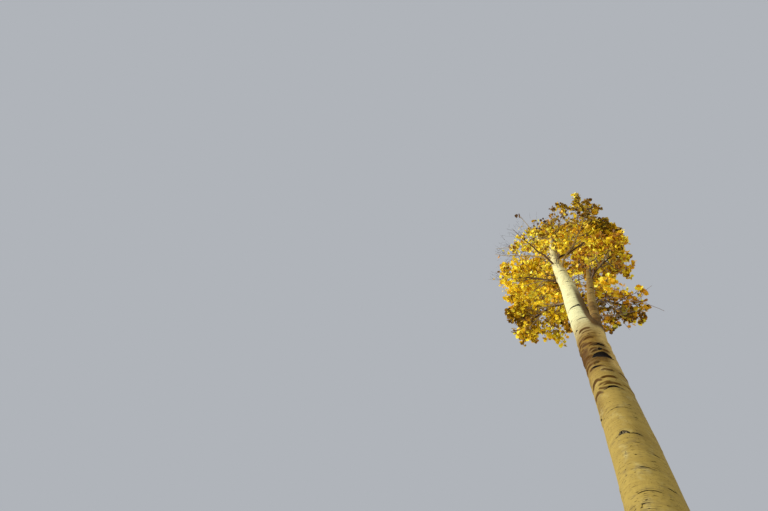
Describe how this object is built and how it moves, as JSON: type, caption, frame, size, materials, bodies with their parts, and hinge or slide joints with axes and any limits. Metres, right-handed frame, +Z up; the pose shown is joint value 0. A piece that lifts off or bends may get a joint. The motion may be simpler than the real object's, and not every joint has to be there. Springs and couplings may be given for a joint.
{
  "type": "poplar tree",
  "caption": "Tall slender quaking aspen in golden autumn leaf, with pale bark, a forked upper trunk, ascending boughs and a narrow open crown.",
  "frame": {"origin": "middle of the flat cut under the trunk, at ground level", "axes": "+Z up the tree; +X to the right and +Y away from the side that the tree is seen from, the second leader standing to +X"},
  "size_m": [2.9929, 2.5232, 15.2409],
  "materials": {
    "bark": "smooth cream aspen bark with dark scars and small dark lenticels",
    "bough_bark": "thin grey-brown bark of boughs and twigs, paler on the boughs",
    "leaf_gold": "golden autumn leaf, satin",
    "leaf_amber": "amber autumn leaf, satin",
    "leaf_lemon": "lemon yellow autumn leaf, satin"
  },
  "bodies": {
    "root": {"trunk": "bark", "second_leader": "bark", "bough_low_right": "bough_bark", "bough_low_left": "bough_bark", "bough_right_low": "bough_bark", "bough_left_low": "bough_bark", "bough_back_low": "bough_bark", "bough_front_low": "bough_bark", "bough_front_left": "bough_bark", "bough_right_mid": "bough_bark", "bough_back_left": "bough_bark", "bough_left_mid": "bough_bark", "bough_back_right": "bough_bark", "bough_front_right": "bough_bark", "bough_right_high": "bough_bark", "bough_back_mid": "bough_bark", "bough_front_high": "bough_bark", "bough_left_high": "bough_bark", "bough_right_top": "bough_bark", "bough_back_high": "bough_bark", "bough_left_top": "bough_bark", "bough_front_top": "bough_bark", "bough_back_top": "bough_bark", "bough_right_tip": "bough_bark", "bough_left_tip": "bough_bark", "foliage_low_right": "leaf_gold", "foliage_low_left": "leaf_amber", "foliage_right_low": "leaf_lemon", "foliage_left_low": "leaf_gold", "foliage_back_low": "leaf_amber", "foliage_front_low": "leaf_lemon", "foliage_front_left": "leaf_gold", "foliage_right_mid": "leaf_amber", "foliage_back_left": "leaf_lemon", "foliage_left_mid": "leaf_gold", "foliage_back_right": "leaf_amber", "foliage_front_right": "leaf_lemon", "foliage_right_high": "leaf_gold", "foliage_back_mid": "leaf_amber", "foliage_front_high": "leaf_lemon", "foliage_left_high": "leaf_gold", "foliage_right_top": "leaf_amber", "foliage_back_high": "leaf_lemon", "foliage_left_top": "leaf_gold", "foliage_front_top": "leaf_amber", "foliage_back_top": "leaf_lemon", "foliage_right_tip": "leaf_gold", "foliage_left_tip": "leaf_amber", "foliage_crown_top": "leaf_lemon"}
  },
  "joints": []
}
